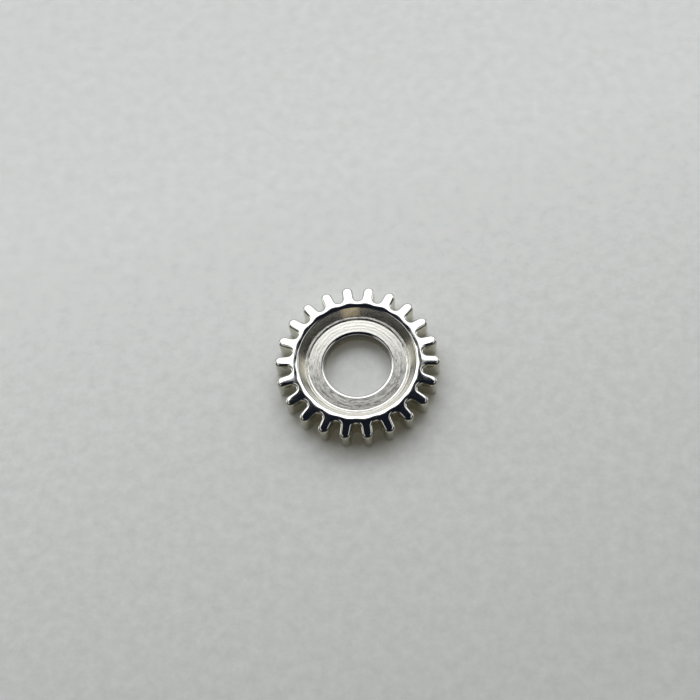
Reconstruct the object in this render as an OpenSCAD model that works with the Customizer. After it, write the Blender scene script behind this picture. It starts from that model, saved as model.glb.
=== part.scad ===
// Crown wheel of a hand-wound watch: one wheel, turned from steel, with its teeth cut round the edge.
// It turns on its bore, and the recess faces up. All sizes are in millimetres.
// The origin is on the bore's axis, at the height of the underside. Teeth point along +X and -X.

/* [Teeth] */
// Number of teeth
tooth_count = 22; // [20:1:23]
// Diameter over the tooth tips
tip_d = 5.04; // [4.9:0.02:5.4]
// Diameter at the bottom of the gaps between the teeth
root_d = 4.06; // [3.98:0.02:4.16]
// Radius of the round bottom of each gap
gap_r = 0.135; // [0.12:0.005:0.15]
// Width of each tooth where its round end begins
tooth_end_w = 0.34; // [0.28:0.01:0.35]

/* [Blank] */
// Height of the wheel from the underside to the crest of the rim
rim_h = 0.85; // [0.75:0.01:1.2]
// Diameter of the crest, where the tooth tops meet the lip of the recess
crest_d = 3.88; // [3.8:0.02:3.96]
// Fall of the tooth tops from the crest to the tips
tooth_fall = 0.05; // [0.01:0.01:0.1]
// Bevel under the tooth tips, across and up
foot_bevel = 0.06; // [0.02:0.01:0.12]

/* [Recess] */
// Depth of the recess floor below the crest
recess_depth = 0.35; // [0.28:0.01:0.45]
// Diameter where the lip turns down into the recess wall
wall_top_d = 3.54; // [3.46:0.02:3.64]
// Fall of the lip from the crest to the top of the wall
lip_fall = 0.03; // [0.01:0.01:0.06]
// Diameter at the foot of the recess wall, where the ledge round the floor begins
wall_foot_d = 3.22; // [3.16:0.02:3.34]
// Height of the ledge above the recess floor, at the foot of the wall
ledge_rise = 0.065; // [0.04:0.005:0.12]
// Fall of the ledge from the foot of the wall to its inner edge
ledge_fall = 0.005; // [0.005:0.005:0.03]
// Diameter of the recess floor, where the ledge ends in a small upright step
floor_d = 3.06; // [2.9:0.02:3.14]

/* [Bore] */
// Diameter of the bore
bore_d = 2.06; // [1.6:0.02:2.2]
// Bevel round the top of the bore, across
bore_bevel_w = 0.085; // [0.03:0.005:0.12]
// Bevel round the top of the bore, down
bore_bevel_h = 0.03; // [0.01:0.005:0.06]
// Bevel round the lower end of the bore, across and up
bore_foot_bevel = 0.04; // [0.02:0.005:0.08]

/* [Hidden] */
$fn = 96;
// How far a cutting shape runs past the surface that it cuts
over = 0.1;
pitch = 360 / tooth_count;
tip_r = tip_d / 2;
end_r = tooth_end_w / 2;
end_x = tip_r - end_r;
gap_x = root_d / 2 + gap_r;
// A flank runs from the edge of the tooth's round end, straight to where it touches the gap's circle.
// Both points are worked out with the middle of the gap along X.
flank_top = [end_x * cos(pitch / 2) + end_r * sin(pitch / 2), end_x * sin(pitch / 2) - end_r * cos(pitch / 2)];
gap_way = [gap_x, 0] - flank_top;
flank_turn = atan2(gap_way[1], gap_way[0]) - asin(gap_r / norm(gap_way));
flank_way = [cos(flank_turn), sin(flank_turn)];
flank_foot = flank_top + sqrt(norm(gap_way) ^ 2 - gap_r ^ 2) * flank_way;
flank_out = flank_top - 2 * end_r * flank_way;

function mirrored(point) = [point[0], -point[1]];

// What is cut away between two teeth, seen from above
module gap_outline() {
    translate([gap_x, 0]) circle(r = gap_r, $fn = 48);
    polygon([[gap_x, 0], flank_foot, flank_out, mirrored(flank_out), mirrored(flank_foot)]);
}

// What is cut away round the end of one tooth, seen from above
module end_outline() {
    difference() {
        translate([end_x + end_r / 10, -2 * end_r]) square([end_r + over, 4 * end_r]);
        translate([end_x, 0]) circle(r = end_r, $fn = 48);
    }
}

// One outline repeated all round the wheel, as tall as the wheel and a little more
module round_the_wheel(first_angle) {
    for (i = [0 : tooth_count - 1])
        rotate(first_angle + i * pitch) translate([0, 0, -over]) linear_extrude(rim_h + 2 * over) children();
}

// The turned blank: its section from the bore to the tips, swept round the axis
module blank() {
    floor_z = rim_h - recess_depth;
    bore_r = bore_d / 2;
    rotate_extrude() polygon([
        [bore_r + bore_foot_bevel, 0],
        [tip_r - foot_bevel, 0],
        [tip_r, foot_bevel],
        [tip_r, rim_h - tooth_fall],
        [crest_d / 2, rim_h],
        [wall_top_d / 2, rim_h - lip_fall],
        [wall_foot_d / 2, floor_z + ledge_rise],
        [floor_d / 2, floor_z + ledge_rise - ledge_fall],
        [floor_d / 2, floor_z],
        [bore_r + bore_bevel_w, floor_z],
        [bore_r, floor_z - bore_bevel_h],
        [bore_r, bore_foot_bevel]
    ]);
}

// Crown wheel: the blank, with its gaps cut and its tooth ends rounded
module crown_wheel() {
    color("gainsboro")
    difference() {
        blank();
        round_the_wheel(pitch / 2) gap_outline();
        round_the_wheel(0) end_outline();
    }
}

crown_wheel();
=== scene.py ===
import math
import bmesh
import bpy
from mathutils import Matrix, Vector, noise


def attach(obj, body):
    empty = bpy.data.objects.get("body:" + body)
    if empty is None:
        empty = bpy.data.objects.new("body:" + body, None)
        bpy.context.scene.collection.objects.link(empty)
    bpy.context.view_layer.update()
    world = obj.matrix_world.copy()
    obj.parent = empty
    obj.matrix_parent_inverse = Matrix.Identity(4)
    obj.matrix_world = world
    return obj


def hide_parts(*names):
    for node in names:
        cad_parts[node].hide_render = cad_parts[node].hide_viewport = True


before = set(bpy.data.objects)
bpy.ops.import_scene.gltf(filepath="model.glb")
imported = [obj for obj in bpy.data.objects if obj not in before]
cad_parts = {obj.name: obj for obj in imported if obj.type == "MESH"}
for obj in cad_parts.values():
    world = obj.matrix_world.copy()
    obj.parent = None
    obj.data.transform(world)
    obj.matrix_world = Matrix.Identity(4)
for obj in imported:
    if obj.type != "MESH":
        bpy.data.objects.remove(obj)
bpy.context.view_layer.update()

# Teeth of the crown wheel. The wheel is one piece of hardened steel, turned from the bar. Its 22 teeth are
# cut straight down across the edge, then polishing rounds their upper edges. Sizes are in millimetres until
# the whole mesh is brought to metres.
TOOTH_COUNT = 22
PITCH = 2 * math.pi / TOOTH_COUNT
TIP_RADIUS = 2.52
ROOT_RADIUS = 2.03
GAP_RADIUS = 0.135
TOOTH_END_RADIUS = 0.17
ROUND_STEPS = 6
FLANK_CUTS = 3
RIM_HEIGHT = 0.85
CREST_RADIUS = 1.95
TOOTH_FALL = 0.05
CROWN_RADIUS = 1.6
CROWN_REACH = 0.15
EDGE_ROUND = 0.09
EDGE_FLATNESS = 0.7
FOOT_ROUND = 0.05
NEAR = 0.001


def half_tooth(bm):
    """Half of one tooth's outline: its round end, its straight flank and half of the gap's round bottom."""
    up = (0, 0, 1)
    tip = bm.verts.new((TIP_RADIUS, 0, 0))
    end_centre = (TIP_RADIUS - TOOTH_END_RADIUS, 0, 0)
    end = bmesh.ops.spin(bm, geom=[tip], cent=end_centre, axis=up, angle=math.pi / 2, steps=ROUND_STEPS)
    shoulder = [g for g in end["geom_last"] if isinstance(g, bmesh.types.BMVert)][0]
    gap_centre = Matrix.Rotation(PITCH / 2, 3, "Z") @ Vector((ROOT_RADIUS + GAP_RADIUS, 0, 0))
    way = gap_centre - shoulder.co
    turn = math.atan2(way.y, way.x) + math.asin(GAP_RADIUS / way.length)
    flank_length = math.sqrt(way.length ** 2 - GAP_RADIUS ** 2)
    foot = bm.verts.new(shoulder.co + flank_length * Vector((math.cos(turn), math.sin(turn), 0)))
    sweep = (foot.co - gap_centre).to_2d().angle_signed((-gap_centre).to_2d())
    bmesh.ops.spin(bm, geom=[foot], cent=gap_centre, axis=up, angle=-sweep, steps=ROUND_STEPS)
    flank = bm.edges.new((shoulder, foot))
    bmesh.ops.subdivide_edges(bm, edges=[flank], cuts=FLANK_CUTS)


def loop_at(bm, height):
    """The edges that lie level at this height."""
    return [e for e in bm.edges if all(abs(v.co.z - height) < NEAR for v in e.verts)]


def round_over(bm, edges, width, segments):
    """Rounds these edges over."""
    bmesh.ops.bevel(bm, geom=edges, offset=width, segments=segments, profile=0.5, affect="EDGES",
                    clamp_overlap=False, material=-1)


def tooth_top(angle, radius):
    """Height of the tooth tops: they fall from the crest to the tips, and are a little crowned across."""
    reach = max(0.0, (radius - CREST_RADIUS) / (TIP_RADIUS - CREST_RADIUS))
    across = radius * math.sin(angle - round(angle / PITCH) * PITCH)
    crown = min(abs(across), CROWN_REACH) ** 2 / (2 * CROWN_RADIUS)
    return RIM_HEIGHT - TOOTH_FALL * reach - reach * crown


bm = bmesh.new()
half_tooth(bm)
bmesh.ops.mirror(bm, geom=bm.verts[:] + bm.edges[:], axis="Y", merge_dist=NEAR)
bmesh.ops.spin(bm, geom=bm.verts[:] + bm.edges[:], cent=(0, 0, 0), axis=(0, 0, 1), angle=2 * math.pi,
               steps=TOOTH_COUNT, use_duplicate=True)
bmesh.ops.remove_doubles(bm, verts=bm.verts[:], dist=NEAR)
outline = bmesh.ops.contextual_create(bm, geom=bm.edges[:])["faces"]
raised = bmesh.ops.extrude_face_region(bm, geom=outline)["geom"]
top = [g for g in raised if isinstance(g, bmesh.types.BMVert)]
bmesh.ops.translate(bm, vec=(0, 0, RIM_HEIGHT), verts=top)
bmesh.ops.recalc_face_normals(bm, faces=bm.faces[:])
round_over(bm, loop_at(bm, RIM_HEIGHT), EDGE_ROUND, 7)
round_over(bm, loop_at(bm, 0), FOOT_ROUND, 3)
# The flat top and underside go again, because turned rings take their place.
flats = [f for f in bm.faces if len(f.verts) > 4]
bmesh.ops.delete(bm, geom=flats, context="FACES_ONLY")
for v in bm.verts:
    if v.co.z > RIM_HEIGHT / 2:
        drop = EDGE_FLATNESS * (RIM_HEIGHT - v.co.z)
        v.co.z = tooth_top(math.atan2(v.co.y, v.co.x), v.co.to_2d().length) - drop


# Lip, recess and bore of the same wheel, turned in one setting: a narrow rounded lip that polishing has
# brightened, a recess with a steep wall, a small ledge at its foot, a floor that keeps its turning marks, and
# a bore with a fine bevel. The lip waves a little, because polishing wears it further in at each gap.
POLISHED, TURNED, CUT, BORED, BORE = range(5)
CREST_RINGS = 5
LIP = [(1.92, RIM_HEIGHT), (1.912, RIM_HEIGHT), (1.897, 0.8496), (1.875, 0.8484), (1.85, 0.8458),
       (1.828, 0.842), (1.811, 0.837), (1.798, 0.83), (1.787, 0.82), (1.777, 0.8065)]
LIP_WAVE = 0.022
WAVE_RINGS = 4
WALL_FOOT = (1.612, 0.547)
LEDGE = [(1.598, 0.5466), (1.546, 0.5456), (1.532, 0.5452)]
STEP_FOOT_RADIUS = 1.529
STEP_BITE = 0.014
STEP_BITE_RATE = 14
FLOOR_HEIGHT = 0.5
FLOOR_RADIUS = 1.495
FLOOR_END_RADIUS = 1.096
FLOOR_RINGS = 25
FLOOR_MARK_DEPTH = 0.0003
FLOOR_MARK_RATE = 23.7
BEVEL = [(1.084, 0.4995), (1.076, 0.498), (1.068, 0.4953), (1.059, 0.4915), (1.049, 0.4866), (1.041, 0.482),
         (1.035, 0.477), (1.031, 0.469), (1.03, 0.458)]
BORE_RADIUS = 1.03
BORE_FOOT_BEVEL = 0.04


def next_ring(bm, ring, place, material):
    """Extrudes a closed ring of edges once, and puts each new point where place says for its angle."""
    out = bmesh.ops.extrude_edge_only(bm, edges=ring)["geom"]
    for g in out:
        if isinstance(g, bmesh.types.BMVert):
            angle = math.atan2(g.co.y, g.co.x)
            radius, g.co.z = place(angle, g.co.to_2d().length)
            g.co.xy = radius * math.cos(angle), radius * math.sin(angle)
        elif isinstance(g, bmesh.types.BMFace):
            g.material_index = material
    return [g for g in out if isinstance(g, bmesh.types.BMEdge) and len(g.link_faces) == 1]


def lathe(bm, ring, section, material):
    """Carries the open ring inwards along a turned section of radius and height."""
    for radius, height in section:
        ring = next_ring(bm, ring, lambda angle, r: (radius, height), material)
    return ring


def wavy(radius, share):
    """A radius that lies further out on a tooth than at a gap, by a share of the lip's wave."""
    return lambda angle: radius + share * LIP_WAVE * math.cos(TOOTH_COUNT * angle)


def step_foot(angle, r):
    """The foot of the step below the ledge, which the tool has left a little uneven."""
    round_way = (STEP_BITE_RATE * math.cos(angle), STEP_BITE_RATE * math.sin(angle), 0.4)
    bite = min(1.0, max(0.0, noise.noise(round_way) + 0.3))
    return STEP_FOOT_RADIUS - STEP_BITE * bite, FLOOR_HEIGHT


ring = [e for e in bm.edges if e.is_boundary and e.verts[0].co.z > RIM_HEIGHT / 2]
crest = wavy(CREST_RADIUS, 1)
for k in range(CREST_RINGS):
    def along_tooth(angle, r, left=CREST_RINGS - k):
        r += (crest(angle) - r) / left
        return r, tooth_top(angle, r)
    ring = next_ring(bm, ring, along_tooth, POLISHED)
for k, (radius, height) in enumerate(LIP):
    edge = wavy(radius, min(1.0, max(0.0, (WAVE_RINGS + 1 - k) / WAVE_RINGS)))
    ring = next_ring(bm, ring, lambda angle, r: (edge(angle), height), POLISHED)
ring = wall_foot = lathe(bm, ring, [WALL_FOOT], BORED)
ring = ledge_edge = lathe(bm, ring, LEDGE, TURNED)
ring = floor_edge = next_ring(bm, ring, step_foot, TURNED)
for k in range(FLOOR_RINGS):
    r = FLOOR_RADIUS + (FLOOR_END_RADIUS - FLOOR_RADIUS) * k / FLOOR_RINGS
    mark = FLOOR_MARK_DEPTH * noise.noise((r * FLOOR_MARK_RATE, 0.3, 0.7))
    ring = lathe(bm, ring, [(r, FLOOR_HEIGHT + mark)], TURNED)
ring = lathe(bm, ring, BEVEL, POLISHED)
ring = bore_foot = lathe(bm, ring, [(BORE_RADIUS, BORE_FOOT_BEVEL)], BORE)
ring = foot_edge = lathe(bm, ring, [(BORE_RADIUS + BORE_FOOT_BEVEL, 0)], BORE)
for edges, width, segments in [(wall_foot, 0.01, 3), (ledge_edge, 0.01, 3), (floor_edge, 0.004, 2),
                               (bore_foot, 0.01, 2), (foot_edge, 0.008, 2)]:
    round_over(bm, [e for e in edges if e.is_valid], width, segments)


# Underside of the wheel: faced flat in the lathe, with fine turning marks from the teeth in to the bore. It
# rests on the barrel bridge and isn't polished. With it the wheel's mesh is closed.
UNDER_RADIUS = 1.5
UNDER_END_RADIUS = 1.1
UNDER_OUTER_RINGS = 4
UNDER_INNER_RINGS = 9
STEEP = 0.5
MM = 0.001


def open_edges(bm, low, high):
    """The open edges of the mesh whose points lie between these radii."""
    return [e for e in bm.edges if e.is_boundary and all(low < v.co.to_2d().length < high for v in e.verts)]


ring = open_edges(bm, UNDER_RADIUS, TIP_RADIUS)
for k in range(UNDER_OUTER_RINGS):
    def along_underside(angle, r, left=UNDER_OUTER_RINGS - k):
        return r + (UNDER_RADIUS - r) / left, 0.0
    ring = next_ring(bm, ring, along_underside, TURNED)
for k in range(1, UNDER_INNER_RINGS):
    r = UNDER_RADIUS + (UNDER_END_RADIUS - UNDER_RADIUS) * k / UNDER_INNER_RINGS
    ring = lathe(bm, ring, [(r, 0.0)], TURNED)
bridge = bmesh.ops.bridge_loops(bm, edges=ring + open_edges(bm, 0, UNDER_END_RADIUS))
for f in bridge["faces"]:
    f.material_index = TURNED
bmesh.ops.remove_doubles(bm, verts=bm.verts[:], dist=NEAR / 100)
bmesh.ops.recalc_face_normals(bm, faces=bm.faces[:])
for f in bm.faces:
    f.smooth = True
    beyond_crest = f.calc_center_median().to_2d().length > CREST_RADIUS
    if f.material_index == POLISHED and beyond_crest and abs(f.normal.z) < STEEP:
        f.material_index = CUT
bmesh.ops.scale(bm, vec=(MM, MM, MM), verts=bm.verts[:])
wheel_mesh = bpy.data.meshes.new("wheel")
bm.to_mesh(wheel_mesh)
bm.free()
wheel = bpy.data.objects.new("wheel", wheel_mesh)
bpy.context.collection.objects.link(wheel)
even = wheel.modifiers.new("even_shading", "WEIGHTED_NORMAL")
even.mode = "FACE_AREA"
even.keep_sharp = False


# Finishes of the wheel. It is bare steel all over, and each finish is what one step of the making leaves: a
# mirror polish above, the lathe's fine marks on the ledge, floor and underside, the cutter's upright streaks
# on the flanks, and bored walls in the recess and in the bore. The bore's colour darkens upwards: painted
# shade.
def add_node(m, kind, values, **settings):
    """Adds a node to a material; values are numbers, colours or the sockets that it is linked from."""
    n = m.node_tree.nodes.new(kind)
    for name, value in settings.items():
        setattr(n, name, value)
    for key, value in values.items():
        if isinstance(value, bpy.types.NodeSocket):
            m.node_tree.links.new(value, n.inputs[key])
        else:
            n.inputs[key].default_value = value
    return n


def in_millimetres(m, scale=(1, 1, 1)):
    """Object coordinates in millimetres."""
    place = add_node(m, "ShaderNodeTexCoord", {}).outputs["Object"]
    per_metre = [k / MM for k in scale]
    return add_node(m, "ShaderNodeVectorMath", {0: place, 1: per_metre}, operation="MULTIPLY").outputs[0]


def grain(m, vector, scale=1.0, detail=2.0, rough=0.5):
    """Fine noise of about 0.3 to 0.7 over a surface."""
    values = {"Vector": vector, "Scale": scale, "Detail": detail, "Roughness": rough}
    return add_node(m, "ShaderNodeTexNoise", values).outputs["Fac"]


def turning_marks(m, across, along, detail=2.0):
    """Noise drawn out round the axis, by its changes across each millimetre and along each radian."""
    flat = in_millimetres(m, (1, 1, 0))
    radius = add_node(m, "ShaderNodeVectorMath", {0: flat}, operation="LENGTH").outputs["Value"]
    way = add_node(m, "ShaderNodeVectorMath", {0: flat}, operation="NORMALIZE").outputs[0]
    way = add_node(m, "ShaderNodeVectorMath", {0: way, "Scale": along}, operation="SCALE").outputs[0]
    out = add_node(m, "ShaderNodeMath", {0: radius, 1: across}, operation="MULTIPLY").outputs[0]
    out = add_node(m, "ShaderNodeCombineXYZ", {"Z": out}).outputs[0]
    return grain(m, add_node(m, "ShaderNodeVectorMath", {0: way, 1: out}).outputs[0], detail=detail)


def between(m, value, low, high, start=0.3, end=0.7):
    """Runs from low to high as the value goes from start to end, and stays there beyond them."""
    values = {"Value": value, "From Min": start, "From Max": end, "To Min": low, "To Max": high}
    return add_node(m, "ShaderNodeMapRange", values).outputs[0]


def finish(mesh, name, values):
    """Adds a material to a mesh, with these values on its shader."""
    m = bpy.data.materials.new(name)
    m.use_nodes = True
    shader = m.node_tree.nodes["Principled BSDF"]
    for key, value in values.items():
        shader.inputs[key].default_value = value
    mesh.materials.append(m)
    return m, shader


def dull(m, shader, pattern, low, high):
    """Lets the roughness run from low to high with a pattern."""
    m.node_tree.links.new(between(m, pattern, low, high), shader.inputs["Roughness"])


def bump(m, shader, heights):
    """Raises the surface by each pair of a pattern and its depth in millimetres."""
    normal = None
    for pattern, depth in heights:
        values = {"Height": pattern, "Distance": depth * MM, "Strength": 1.0}
        if normal:
            values["Normal"] = normal
        normal = add_node(m, "ShaderNodeBump", values).outputs[0]
    m.node_tree.links.new(normal, shader.inputs["Normal"])


def steel(name, colour, roughness, drawn_out=0.0):
    """A bare steel; drawn_out says how far the turning marks draw out its gloss."""
    values = {"Base Color": (*colour, 1), "Metallic": 1, "Roughness": roughness, "Anisotropic": drawn_out}
    m, shader = finish(wheel_mesh, name, values)
    if drawn_out:
        shader.inputs["Anisotropic Rotation"].default_value = 0.25
        tangent = add_node(m, "ShaderNodeTangent", {}, direction_type="RADIAL", axis="Z")
        m.node_tree.links.new(tangent.outputs[0], shader.inputs["Tangent"])
    return m, shader


m, shader = steel("polished_steel", colour=(0.655, 0.655, 0.635), roughness=0.08)
haze = grain(m, in_millimetres(m), scale=3.0, detail=3.0)
wipes = grain(m, in_millimetres(m, (14, 45, 14)), detail=3.0)
dull(m, shader, haze, low=0.06, high=0.11)
bump(m, shader, [(wipes, 0.00006)])

m, shader = steel("turned_steel", colour=(0.68, 0.672, 0.625), roughness=0.19, drawn_out=0.4)
arcs = turning_marks(m, across=16, along=7, detail=3.0)
fine_arcs = turning_marks(m, across=70, along=9, detail=1.0)
dull(m, shader, arcs, low=0.13, high=0.22)
bump(m, shader, [(arcs, 0.0008), (fine_arcs, 0.00015)])

m, shader = steel("cut_steel", colour=(0.54, 0.525, 0.44), roughness=0.2)
streaks = grain(m, in_millimetres(m, (16, 16, 1.2)), detail=3.0)
dull(m, shader, streaks, low=0.03, high=0.08)
bump(m, shader, [(streaks, 0.0005)])

m, shader = steel("bored_steel", colour=(0.635, 0.622, 0.57), roughness=0.25, drawn_out=0.85)
rings = turning_marks(m, across=30, along=5)
dull(m, shader, rings, low=0.22, high=0.29)
bump(m, shader, [(rings, 0.0005)])

# Painted shade in the bore: its colour darkens from the foot colour to a dark top colour between these
# heights.
BORE_FOOT_COLOUR = (0.6, 0.58, 0.5, 1)
BORE_PAINTED_SHADE_COLOUR = (0.12, 0.11, 0.085, 1)
BORE_PAINTED_SHADE_START = 0.1
BORE_PAINTED_SHADE_END = 0.45
m, shader = steel("bore_steel_painted_shade", colour=(0.4, 0.38, 0.32), roughness=0.3)
height = add_node(m, "ShaderNodeSeparateXYZ", {0: in_millimetres(m)}).outputs["Z"]
share = between(m, height, low=0.0, high=1.0, start=BORE_PAINTED_SHADE_START, end=BORE_PAINTED_SHADE_END)
# The Mix node's two colours are its inputs 6 and 7, and their mix is its output 2.
shade = add_node(m, "ShaderNodeMix", {0: share, 6: BORE_FOOT_COLOUR, 7: BORE_PAINTED_SHADE_COLOUR}, data_type="RGBA")
m.node_tree.links.new(shade.outputs[2], shader.inputs["Base Color"])
rings = turning_marks(m, across=30, along=5)
dull(m, shader, rings, low=0.24, high=0.34)
bump(m, shader, [(rings, 0.0006)])

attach(wheel, "root")
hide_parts("crown_wheel")


# Floor: a large sheet of pale matt card on which the wheel lies. Painted light makes it lighter by a small
# share for each millimetre towards the back and darker towards the right, and a faint warm glow on it is
# painted fill light in its shadows. It has faint specks and a fine grain. It lies a hair lower than the
# wheel's underside, so that the two faces don't fall together.
CARD_REACH = 500 * MM
CARD_HEIGHT = -0.002 * MM
CARD_TONE = (0.865, 0.897, 0.907)
# Painted light: the card's tone rises towards the back and falls towards the right, within these limits.
PAINTED_LIGHT_TO_BACK = 0.0187
PAINTED_LIGHT_TO_RIGHT = -0.0047
PAINTED_FALLOFF_LIMITS = (0.8, 1.14)
bm = bmesh.new()
bmesh.ops.create_grid(bm, x_segments=1, y_segments=1, size=CARD_REACH,
                      matrix=Matrix.Translation((0, 0, CARD_HEIGHT)))
card_mesh = bpy.data.meshes.new("card")
bm.to_mesh(card_mesh)
bm.free()
card = bpy.data.objects.new("card", card_mesh)
bpy.context.collection.objects.link(card)
matt = {"Roughness": 0.9, "Specular IOR Level": 0.1}
# The card's faint warm glow is painted fill light, which lifts its shadows.
painted_fill_glow = {"Emission Color": (1.0, 0.88, 0.6, 1), "Emission Strength": 0.04}
m, shader = finish(card_mesh, "pale_card_painted_light", matt | painted_fill_glow)
spot = add_node(m, "ShaderNodeSeparateXYZ", {0: in_millimetres(m)})
# fade is the painted light falloff across the card, and below it also takes in the specks.
fade = 1.0
for axis, lighter in [("Y", PAINTED_LIGHT_TO_BACK), ("X", PAINTED_LIGHT_TO_RIGHT)]:
    values = {0: spot.outputs[axis], 1: lighter, 2: fade}
    fade = add_node(m, "ShaderNodeMath", values, operation="MULTIPLY_ADD").outputs[0]
fade = between(m, fade, *PAINTED_FALLOFF_LIMITS, *PAINTED_FALLOFF_LIMITS)
specks = grain(m, in_millimetres(m), scale=2.6, detail=4.0, rough=0.7)
specks = between(m, specks, low=0.93, high=1.07)
fade = add_node(m, "ShaderNodeMath", {0: fade, 1: specks}, operation="MULTIPLY").outputs[0]
tone = add_node(m, "ShaderNodeVectorMath", {0: CARD_TONE, "Scale": fade}, operation="SCALE").outputs[0]
m.node_tree.links.new(tone, shader.inputs["Base Color"])
paper_grain = grain(m, in_millimetres(m), scale=6.0, detail=5.0, rough=0.7)
bump(m, shader, [(paper_grain, 0.006)])


# Light: a studio of soft patches, because polished steel shows all that stands round it. A wide white one
# stands behind the wheel, up to 65 degrees high, with weaker ones below it and at the sides. The side of the
# camera is dark but for a dim band and a small warm patch, and a low pale band carries on the card all round.
PATCHES = [
    # In degrees: azimuth from the back, reach to both sides and its soft edge, lower and upper elevation, and
    # the soft edge of each. Then colour and strength.
    ("back", 0, 48, 32, 26, 65.2, 28, 1.0, (1.0, 1.0, 1.0), 2.5),
    ("low back", 0, 40, 30, 0, 30, 4, 28, (1.0, 1.0, 0.97), 0.3),
    ("upper sides", 88, 30, 20, 48, 64.5, 10, 1.0, (1.0, 0.99, 0.95), 0.9),
    ("sides", 68, 12, 12, 2, 26, 6, 20, (1.0, 0.98, 0.9), 1.8),
    ("front", 180, 100, 30, 16, 40, 16, 30, (1.0, 0.9, 0.62), 0.06),
    ("warm patch", 180, 12, 9, 1, 14, 4, 4, (1.0, 0.8, 0.5), 0.9),
    ("pale horizon", 180, 200, 10, -8, 3, 2, 1.5, (1.0, 1.0, 0.96), 0.42),
]
DARK_ROOM = (0.008, 0.011, 0.018)
STUDIO_TURN = math.radians(-8.1)
world = bpy.data.worlds.new("studio")
world.use_nodes = True
bpy.context.scene.world = world


def sky_math(operation, *values):
    """One step of arithmetic in the world's nodes."""
    return add_node(world, "ShaderNodeMath", dict(enumerate(values)), operation=operation).outputs[0]


def soft_edge(value, edge, width):
    """Goes softly from 0 to 1 at an edge, or from 1 to 0 where the width is negative."""
    values = {"Value": value, "From Min": edge - width / 2, "From Max": edge + width / 2}
    return add_node(world, "ShaderNodeMapRange", values, interpolation_type="SMOOTHSTEP").outputs[0]


direction = add_node(world, "ShaderNodeTexCoord", {}).outputs["Generated"]
values = {"Vector": direction, "Angle": STUDIO_TURN}
turned = add_node(world, "ShaderNodeVectorRotate", values, rotation_type="Z_AXIS").outputs[0]
parts = add_node(world, "ShaderNodeSeparateXYZ", {0: turned}).outputs
elevation = sky_math("DEGREES", sky_math("ARCSINE", parts["Z"]))
azimuth = sky_math("DEGREES", sky_math("ABSOLUTE", sky_math("ARCTAN2", parts["X"], parts["Y"])))
glow = DARK_ROOM
for name, centre, reach, soft, low, high, soft_low, soft_high, colour, strength in PATCHES:
    aside = sky_math("ABSOLUTE", sky_math("SUBTRACT", azimuth, centre))
    lower, upper = soft_edge(elevation, low, soft_low), soft_edge(elevation, high, -soft_high)
    share = sky_math("MULTIPLY", soft_edge(aside, reach, -soft), sky_math("MULTIPLY", lower, upper))
    values = {0: share, 1: [strength * c for c in colour], 2: glow}
    glow = add_node(world, "ShaderNodeVectorMath", values, operation="MULTIPLY_ADD", label=name).outputs[0]
world.node_tree.links.new(glow, world.node_tree.nodes["Background"].inputs["Color"])


# Camera: a phone held over the wheel from its lower right and a little rolled, 39 mm away and 66 degrees
# above the card. Its place was fitted to the tooth tips and the edges of the rim, recess and bore in the
# photo.
PHOTO_SIDE_PIXELS = 700
FOCAL_LENGTH_PIXELS = 1267.1
CAMERA_DISTANCE = 38.615 * MM
CAMERA_AZIMUTH = math.radians(8.08)
CAMERA_ELEVATION = math.radians(66.19)
CAMERA_ROLL = math.radians(-8.006)
CAMERA_TARGET = Vector((-0.21525, 0.338, 0.85)) * MM
phone = bpy.data.cameras.new("camera")
phone.lens = phone.sensor_width * FOCAL_LENGTH_PIXELS / PHOTO_SIDE_PIXELS
phone.clip_start = MM
camera = bpy.data.objects.new("camera", phone)
outwards = Vector((math.sin(CAMERA_AZIMUTH), -math.cos(CAMERA_AZIMUTH), 0))
right = Vector((math.cos(CAMERA_AZIMUTH), math.sin(CAMERA_AZIMUTH), 0))
back = outwards * math.cos(CAMERA_ELEVATION) + Vector((0, 0, math.sin(CAMERA_ELEVATION)))
level = Matrix((right, back.cross(right), back)).transposed()
held = level @ Matrix.Rotation(CAMERA_ROLL, 3, "Z")
camera.matrix_world = Matrix.Translation(CAMERA_TARGET + back * CAMERA_DISTANCE) @ held.to_4x4()
bpy.context.collection.objects.link(camera)
bpy.context.scene.camera = camera
bpy.context.scene.view_settings.view_transform = "Standard"
